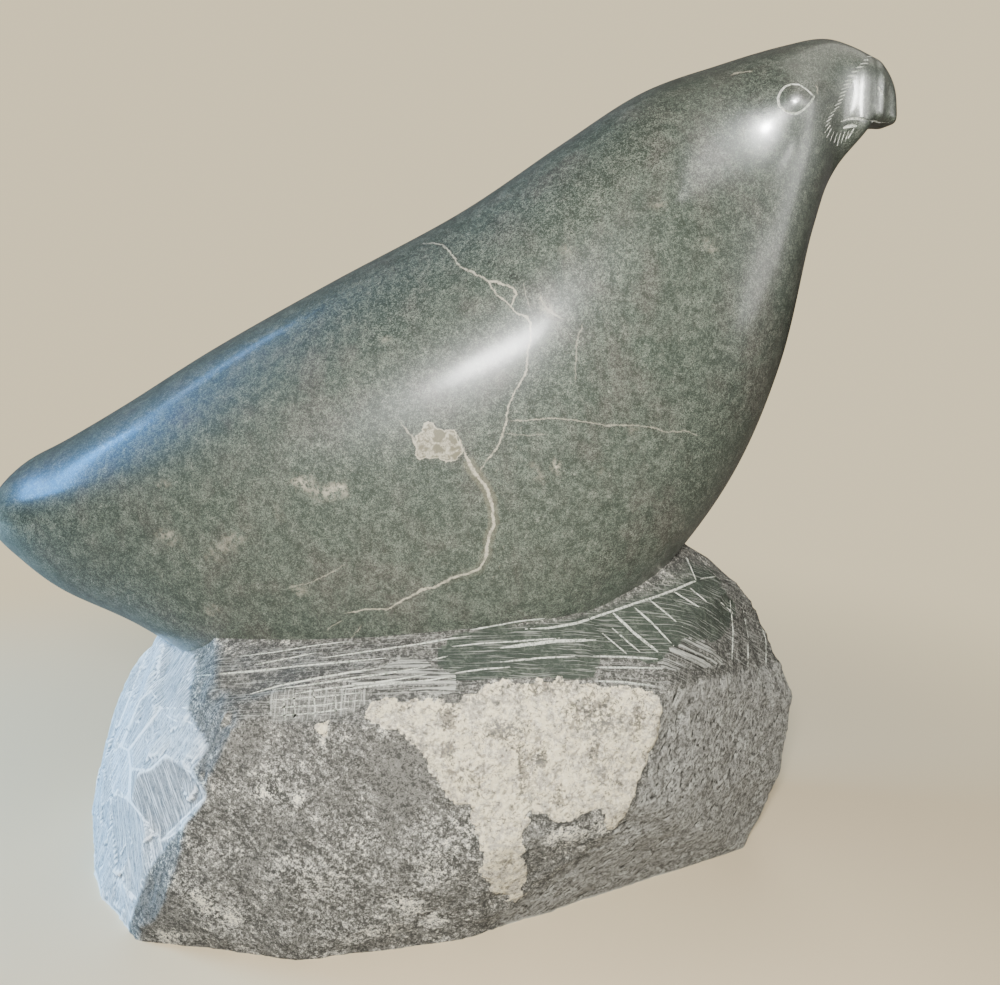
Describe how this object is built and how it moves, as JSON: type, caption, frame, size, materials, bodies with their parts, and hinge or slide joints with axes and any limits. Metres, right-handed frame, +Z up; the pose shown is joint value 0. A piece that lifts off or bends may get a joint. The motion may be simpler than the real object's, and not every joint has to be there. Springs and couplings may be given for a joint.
{
  "type": "soapstone bird carving",
  "caption": "Stone carving of a bird of prey, smooth and polished, leaning forward on the rough block of the same stone.",
  "frame": {"origin": "on the surface that the block stands on, below the middle of the carving's box", "axes": "+X the way the bird faces, +Z up, -Y the side that shows in the picture"},
  "size_m": [0.27, 0.1292, 0.25],
  "materials": {
    "soapstone": "satin polished green-grey soapstone on the bird, rough and chiselled grey stone with a cream weathered skin on the block"
  },
  "bodies": {
    "root": {"bird_on_block": "soapstone"}
  },
  "joints": []
}
